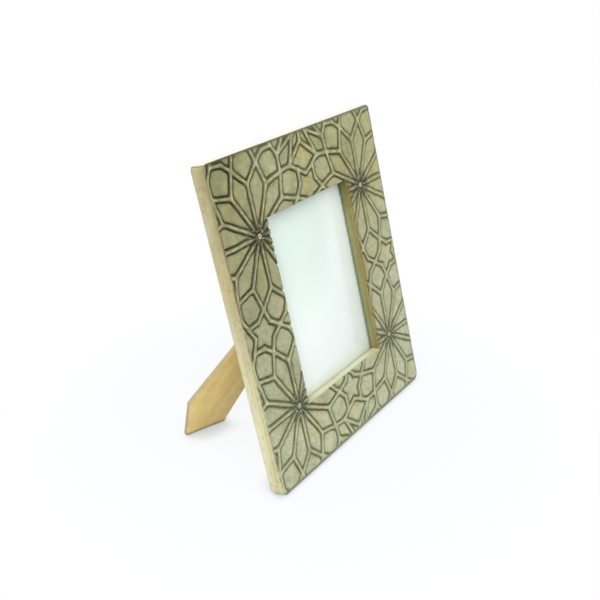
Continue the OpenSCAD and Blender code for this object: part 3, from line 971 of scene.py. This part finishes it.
def rosette_stain(paint, place, colour, net, dapple):
    """The dark, flecked stain round a rosette's centre, and the boss's tone with a painted highlight.
    """
    near = paint.attribute("hub")
    upwards = paint.range(paint.axis(place, "Z"), *ROSETTE_WARM_Z)
    smudge = paint.noise(place, 170, 1.0, 0.4)
    fleck = paint.noise(place, 360, 1.0, 0.4)
    share = paint.times(near, paint.range(net, *CROWN_NET, 1.0, 0.6))
    share = paint.times(share, paint.range(dapple, 0.3, 0.6, 0.8, 1.0))
    stain = paint.mix(upwards, linear(70, 86, 60), linear(42, 42, 20))
    stain = paint.mix(paint.range(smudge, 0.5, 0.62, 0, 0.7), stain, linear(92, 78, 44))
    stain = paint.mix(paint.range(smudge, 0.48, 0.38, 0, 0.7), stain, linear(62, 62, 62))
    colour = paint.mix(share, colour, stain)
    flecks = paint.times(paint.range(fleck, 0.6, 0.67, 0, 0.6), near)
    colour = paint.mix(flecks, colour, linear(180, 180, 158))
    # The boss's own pale grey-green, lightened on the upper rosettes by a painted highlight.
    boss = paint.mix(upwards, linear(150, 160, 134), linear(172, 170, 148))
    return paint.mix(paint.range(net, *BOSS_TONE_HIGHLIGHT_NET, 0, 0.7), colour, boss)


def outer_arris(paint, colour, bare, age, dapple, drift):
    """Painted shade on the outer arris, or bare wood with a dark line where the arris is worn."""
    rim = paint.attribute("rim")
    gathered_shade = paint.mix(age, linear(90, 92, 68), linear(131, 136, 114))
    colour = paint.mix(paint.times(rim, 0.9, clamp=True), colour, gathered_shade)
    worn = paint.times(paint.range(rim, -0.35, -0.8), paint.range(dapple, 0.4, 0.6, 0.8, 0.3))
    colour = paint.mix(worn, colour, bare)
    line = paint.times(paint.range(rim, -0.6, -0.95), paint.range(drift, 0.4, 0.6, 0.15, 0.7))
    return paint.mix(line, colour, linear(92, 76, 54))


def stained_face(paint, place, fine, grit, bare, inner):
    """Colour of the carved face: dark grooves, straps with a painted highlight, and pads that pale
    with age.

    bare shows where the outer arris is worn, and inner where the inner wall's colour comes round.
    """
    dapple = paint.noise(place, 190, 2.0, 0.5)
    drift = paint.noise(place, 52, 2.0, 0.5)
    age = paint.sway(paint.attribute("age"), drift, 0.4)
    age = paint.math("MINIMUM", paint.math("MAXIMUM", age, 0.0), 1.0)
    net = paint.sway(paint.sway(paint.attribute("net"), grit, 0.06), dapple, 0.1)
    colour = stained_pads(paint, place, age, dapple, drift)
    colour = straps_and_grooves(paint, place, colour, net, age, dapple, drift)
    colour = rosette_stain(paint, place, colour, net, dapple)
    colour = paint.tints(
        colour,
        (grit, 0.42, 0.7, 0.5, (226, 224, 212)),
        (fine, 0.4, 0.75, 0.12, (222, 216, 196)),
    )
    colour = outer_arris(paint, colour, bare, age, dapple, drift)
    return paint.mix(paint.attribute("lip"), colour, inner)


def raw_wood(paint, place, tones, fine, slow, patch, mottle, left_corner):
    """Colour of the outer sides, the back and the mitres, with specks and grain."""
    x = paint.axis(place, "X")
    y = paint.axis(place, "Y")
    near_dark, near_pale, far_dark, far_pale = tones
    # Paler where the age value is high. On the left side, paling towards the bottom is painted table
    # bounce light as well as ageing.
    paleness = paint.times(paint.attribute("age"), 1.6, clamp=True)
    near = paint.mix(paleness, near_dark, near_pale)
    far = paint.mix(paleness, far_dark, far_pale)
    colour = paint.mix(paint.range(y, FACE_Y, BACK_Y), near, far)
    rounded = paint.range(x, *ROUNDED_SIDE_X, 0, left_corner)
    colour = paint.mix(rounded, colour, RAW_SIDE[0])
    rear = paint.range(y, *REAR_Y)
    colour = paint.mix(rear, colour, linear(220, 201, 160))
    speck = paint.noise(place, 260, 2.0, 0.5)
    specks = paint.times(paint.range(speck, 0.56, 0.66), paint.range(rear, 0, 1, 0.5 * mottle, 0.12))
    colour = paint.tint(specks, colour, linear(226, 212, 212))
    seam = paint.range(paint.attribute("seam"), 0.3, 1.0, 0, 0.75)
    colour = paint.mix(seam, colour, linear(96, 82, 54))
    cloud = paint.noise(place, 24, 2.0, 0.5)
    return paint.tints(
        colour,
        (cloud, 0.48, 0.7, 0.5, (250, 236, 216)),
        (patch, 0.48, 0.66, 0.4, (222, 214, 204)),
        (slow, 0.5, 0.75, 0.6, (242, 234, 204)),
        (fine, 0.4, 0.75, 0.45, (222, 212, 184)),
        within=paint.range(rear, 0, 1, mottle, 1.0),
    )


def inner_wall(paint, place, tones, fine, patch, corner_warmth):
    """Colour of the wall round the opening, with painted shade at the top and warmer in the right
    corner.
    """
    depth = paint.range(paint.axis(place, "Y"), *WALL_Y)
    height = paint.axis(paint.coordinates(), "Z")
    return paint.tints(
        paint.mix(depth, *tones),
        # Painted shade near the top of the wall, under the top rail.
        (height, *WALL_TOP_SHADE_HEIGHT, 0.9, (204, 208, 190)),
        (paint.axis(place, "X"), *WALL_CORNER_X, corner_warmth, (252, 228, 190)),
        (patch, 0.45, 0.7, 0.6, (232, 220, 196)),
        (fine, 0.4, 0.75, 0.4, (222, 212, 184)),
    )


def carved_wood(name, along, outer, wall, mottle=1.0, corner_warmth=0.0, left_corner=0.0):
    """Stained and carved wood. outer and wall give the tones of the outer sides and of the inner wall.

    along is the axis of the grain, and mottle is how strongly it marks the outer sides. corner_warmth
    is for the right end of the inner wall, and left_corner for the rounded corner at the left.
    """
    paint = Paint(name)
    place = paint.coordinates(FACE_TURN)
    fine = paint.streaks(FACE_TURN, grain_scale(along, 12, 420), 4.0, 0.6)
    slow = paint.streaks(FACE_TURN, grain_scale(along, 5, 70), 3.0, 0.5, 0.6)
    patch = paint.streaks(FACE_TURN, grain_scale(along, 34, 110), 3.0, 0.55)
    grit = paint.noise(place, 900, 3.0, 0.6)
    raw = raw_wood(paint, place, outer, fine, slow, patch, mottle, left_corner)
    inner = inner_wall(paint, place, wall, fine, patch, corner_warmth)
    bare = paint.mix(paint.attribute("wall"), raw, inner)
    stained = stained_face(paint, place, fine, grit, raw, inner)
    front = paint.sway(paint.sway(paint.attribute("front"), patch, 0.9), grit, 0.3)
    colour = paint.mix(paint.range(front, 0.5, 0.72), bare, stained)
    height = paint.math("ADD", paint.times(fine, 0.7), paint.times(grit, 0.3))
    roughness = paint.range(fine, 0.3, 0.7, 0.62, 0.8)
    return paint.surface(Base_Color=colour, Roughness=roughness, Specular_IOR_Level=0.3,
                         Normal=paint.bump(height, 0.15 * MM, 0.6))


def leg_axes():
    """Directions along the leg, across it and through its thickness."""
    points = node_points("easel_leg")
    return [Vector(axis) for axis in np.linalg.svd(points - points.mean(0), full_matrices=False)[2]]


def leg_grain(name, deep, pale):
    """Golden wood whose grain runs along the leg, with a painted contact shadow at the foot."""
    paint = Paint(name)
    turn = leg_axes()[0].rotation_difference(Vector((0, 0, 1))).to_euler()
    fine = paint.streaks(turn, grain_scale("Z", 12, 420), 4.0, 0.6)
    slow = paint.streaks(turn, grain_scale("Z", 6, 70), 3.0, 0.5, 0.6)
    blotch = paint.noise(paint.coordinates(), 60, 2.0, 0.5)
    colour = paint.tints(
        paint.mix(paint.range(slow, 0.3, 0.7), deep, pale),
        (blotch, 0.5, 0.7, 0.42, (244, 228, 186)),
        (blotch, 0.5, 0.36, 0.42, (240, 238, 208)),
        (fine, 0.4, 0.75, 0.34, (216, 198, 164)),
    )
    # Painted contact shadow along the foot's lower edge.
    foot_shade = paint.range(paint.axis(paint.coordinates(), "Z"), *LEG_FOOT_SHADE_HEIGHT, 0, 0.65)
    colour = paint.mix(foot_shade, colour, linear(112, 104, 58))
    rough = paint.range(fine, 0.3, 0.7, 0.5, 0.65)
    return paint.surface(Base_Color=colour, Roughness=rough, Normal=paint.bump(fine, 0.12 * MM, 0.6))


def metal(name, colour, dark, roughness):
    """Brushed metal that is darker and rougher where it is worn."""
    paint = Paint(name)
    place = paint.coordinates()
    wear = paint.noise(place, 160, 3.0, 0.6)
    fine = paint.noise(place, 900, 2.0, 0.5)
    brushed = paint.streaks(FACE_TURN, (2400, 600, 90), 2.0, 0.6)
    tone = paint.mix(paint.range(wear, 0.4, 0.7), colour, dark)
    tone = paint.tint(paint.range(brushed, 0.4, 0.7, 0, 0.25), tone, dark)
    rough = paint.range(wear, 0.3, 0.7, roughness, roughness + 0.2)
    bumps = paint.bump(paint.math("ADD", fine, brushed), 0.03 * MM, 0.4)
    return paint.surface(Base_Color=tone, Roughness=rough, Metallic=1.0, Normal=bumps)


def glass():
    """Clear glass that reflects at its front faces only."""
    paint = Paint("pane_glass")
    smear = paint.noise(paint.coordinates(), 22, 3.0, 0.6)
    clear = paint.node("ShaderNodeBsdfTransparent", Color=linear(254, 255, 255))
    gloss = paint.node("ShaderNodeBsdfGlossy", Color=(1, 1, 1, 1),
                       Roughness=paint.range(smear, 0.3, 0.7, 0.16, 0.24))
    rear = paint.node("ShaderNodeNewGeometry").outputs["Backfacing"]
    share = paint.node("ShaderNodeFresnel", IOR=1.45).outputs[0]
    share = paint.times(share, paint.math("SUBTRACT", 1.0, rear))
    return paint.ended(paint.shader_mix(share, clear, gloss))


def paper():
    """White paper with painted light and shade: whiter to the right and down, warmer by the sill."""
    paint = Paint("blank_paper")
    place = paint.coordinates()
    fibre = paint.noise(place, 1400, 4.0, 0.6)
    tone = paint.noise(place, 14, 2.0, 0.5)
    # Painted shade at the top and left of the paper, whitened by painted light to the right and
    # downwards.
    down = paint.sway(paint.range(paint.axis(place, "Z"), *PAPER_SHADE_HEIGHT), tone, 0.6)
    right = paint.range(paint.axis(place, "X"), 0.0, OPENING_X, 0.0, 0.9)
    whiter = paint.range(paint.math("ADD", down, right), 0.1, 0.9)
    up = paint.axis(paint.coordinates(FACE_TURN), "Z")
    colour = paint.tints(
        paint.mix(whiter, linear(230, 243, 234), linear(247, 252, 249)),
        (fibre, 0.45, 0.8, 0.4, (246, 250, 247)),
        # A painted warm bounce of light from the sill.
        (up, *PAPER_SILL_BOUNCE_Z, 0.7, (255, 249, 228)),
    )
    return paint.surface(Base_Color=colour, Roughness=0.8, Normal=paint.bump(fibre, 0.03 * MM, 0.4))


def hardboard():
    """Brown pressed board with short fibres."""
    paint = Paint("board_hardboard")
    place = paint.coordinates()
    fibre = paint.noise(place, 700, 5.0, 0.7)
    hair = paint.streaks(FIBRE_TURN, (1500, 240, 1500), 3.0, 0.6, 1.5)
    patch = paint.noise(place, 30, 2.0, 0.5)
    colour = paint.mix(fibre, linear(104, 76, 48), linear(158, 124, 84))
    colour = paint.tints(colour, (hair, 0.55, 0.75, 0.6, (190, 176, 150)))
    colour = paint.mix(paint.range(patch, 0.4, 0.7, 0, 0.3), colour, linear(124, 94, 62))
    bumps = paint.bump(paint.math("ADD", fibre, hair), 0.1 * MM, 0.6)
    return paint.surface(Base_Color=colour, Roughness=0.62, Normal=bumps)


def coat(piece, *materials):
    """Gives a piece its materials. Its faces start with the first one."""
    for material in materials:
        piece.data.materials.append(material)


coat(top_rail, carved_wood("wood_top_rail", "X", RAW_TOP_LIT, OLIVE_WALL, mottle=0.3, left_corner=0.9))
coat(bottom_rail, carved_wood("wood_bottom_rail", "X", RAW_SIDE, CREAM_WALL, corner_warmth=0.6))
coat(left_stile, carved_wood("wood_left_stile", "Z", RAW_SIDE, OLIVE_WALL))
coat(right_stile, carved_wood("wood_right_stile", "Z", RAW_SIDE, OLIVE_WALL))
coat(pane, glass())
coat(print_sheet, paper())
coat(board, hardboard())
coat(leg, leg_grain("leg_grain", linear(229, 205, 135), linear(235, 216, 152)),
     leg_grain("leg_edge_grain", linear(184, 168, 122), linear(196, 182, 142)))

# The narrow sides of the leg show its edge grain
through_leg = leg_axes()[2]
for polygon in leg.data.polygons:
    if abs(polygon.normal.dot(through_leg)) < LEG_EDGE_FACING:
        polygon.material_index = 1

brass = metal("brass_sheet", linear(216, 180, 98), linear(184, 148, 78), 0.28)
for piece in brasses:
    coat(piece, brass)
steel = metal("steel_wire", linear(196, 198, 200), linear(150, 150, 152), 0.3)
for piece in (nails, pin):
    coat(piece, steel)


# Stage, light and camera, in metres, degrees and watts. The lens and sensor are in millimetres.

WHITE = (1, 1, 1, 1)
WORLD_LIGHT = 0.38
FLOOR_SIZE = 12.0
FLOOR_FADE_FROM = 0.12
FLOOR_FADE_TO = 0.3
FLOOR_WHITE = 0.86
FLOOR_GREY = (0.8, 0.8, 0.8, 1)
SHADOW_TONE = (0.72, 0.82, 0.94, 1)
CONTACT_REACH = 0.03
CONTACT_OPEN = (0.4, 0.97)
FRONT_EDGE = cad_box[0][1]
FRONT_FADE = (FRONT_EDGE + 0.012, FRONT_EDGE - 0.004)
FRONT_WHITE = 0.88
CAMERA_PLACE = (-0.5835, -0.4087, 0.4805)
CAMERA_TURNS = (63.462, -0.237, -54.793)
CAMERA_LENS = 50.61
CAMERA_SENSOR = 36

# Soft lamps as place, target, size and watts
LAMPS = {
    "key": ((-1.4, -0.6, 1.5), (0, 0, 0.14), 1.2, 30),
    "fill": ((-0.2, -1.75, 1.1), (0, 0, 0.14), 1.4, 9.5),
    "overhead": ((0.1, 0.7, 1.9), (0, 0.05, 0.14), 1.4, 9),
}


def camera_share(nodes, links):
    """1 for rays that show a surface to the camera, straight, by reflection or through glass."""
    path = nodes.new("ShaderNodeLightPath")
    share = path.outputs["Is Camera Ray"]
    for kind in ("Is Glossy Ray", "Is Transmission Ray"):
        either = nodes.new("ShaderNodeMath")
        either.operation = "MAXIMUM"
        links.new(share, either.inputs[0])
        links.new(path.outputs[kind], either.inputs[1])
        share = either.outputs[0]
    return share


def floor_white():
    """White for the camera, with the object's shadow near it. Other rays find a plain grey floor."""
    paint = Paint("floor_white")
    place = paint.coordinates()
    away = paint.node("ShaderNodeVectorMath", {"operation": "LENGTH"}, Vector=place).outputs["Value"]
    wide = paint.range(away, FLOOR_FADE_FROM, FLOOR_FADE_TO, FLOOR_WHITE, 1.0)
    sky = paint.node("ShaderNodeAmbientOcclusion", {"samples": 8}, Distance=CONTACT_REACH)
    close = paint.range(sky.outputs["AO"], *CONTACT_OPEN)
    front = paint.range(paint.axis(place, "Y"), *FRONT_FADE, 0.0, FRONT_WHITE)
    close = paint.math("MAXIMUM", close, front)
    plain = paint.node("ShaderNodeBsdfDiffuse", Color=FLOOR_GREY)
    lit = paint.node("ShaderNodeBsdfDiffuse", Color=SHADOW_TONE)
    white = paint.node("ShaderNodeEmission", Color=WHITE, Strength=1.0)
    seen = paint.shader_mix(paint.math("MINIMUM", wide, close), lit, white)
    return paint.ended(paint.shader_mix(camera_share(paint.nodes, paint.links), plain, seen))


def stage_floor():
    mesh = bpy.data.meshes.new("floor")
    corners = [(x * FLOOR_SIZE, y * FLOOR_SIZE, 0) for x, y in ((-1, -1), (1, -1), (1, 1), (-1, 1))]
    mesh.from_pydata(corners, [], [(0, 1, 2, 3)])
    floor = in_scene("floor", mesh)
    coat(floor, floor_white())


def studio_world():
    """A soft light from all round, which shows as white to the camera."""
    world = bpy.data.worlds.new("studio")
    world.use_nodes = True
    nodes = world.node_tree.nodes
    links = world.node_tree.links
    nodes.clear()
    out = nodes.new("ShaderNodeOutputWorld")
    mixed = nodes.new("ShaderNodeMixShader")
    links.new(camera_share(nodes, links), mixed.inputs[0])
    for socket, strength in ((mixed.inputs[1], WORLD_LIGHT), (mixed.inputs[2], 1.0)):
        background = nodes.new("ShaderNodeBackground")
        background.inputs["Color"].default_value = WHITE
        background.inputs["Strength"].default_value = strength
        links.new(background.outputs[0], socket)
    links.new(mixed.outputs[0], out.inputs["Surface"])
    bpy.context.scene.world = world


def softbox(name, place, target, size, watts):
    """A square soft lamp that no gloss mirrors."""
    light = bpy.data.lights.new(name, "AREA")
    light.shape = "SQUARE"
    light.size = size
    light.energy = watts
    lamp = in_scene(name, light)
    lamp.location = place
    lamp.rotation_euler = (Vector(target) - Vector(place)).to_track_quat("-Z", "Y").to_euler()
    lamp.visible_glossy = False


def photo_camera():
    lens = bpy.data.cameras.new("camera")
    lens.lens = CAMERA_LENS
    lens.sensor_width = CAMERA_SENSOR
    camera = in_scene("camera", lens)
    camera.location = CAMERA_PLACE
    camera.rotation_euler = [math.radians(a) for a in CAMERA_TURNS]
    bpy.context.scene.camera = camera


stage_floor()
studio_world()
for name, lamp_values in LAMPS.items():
    softbox(name, *lamp_values)
photo_camera()
bpy.context.scene.view_settings.view_transform = "Standard"
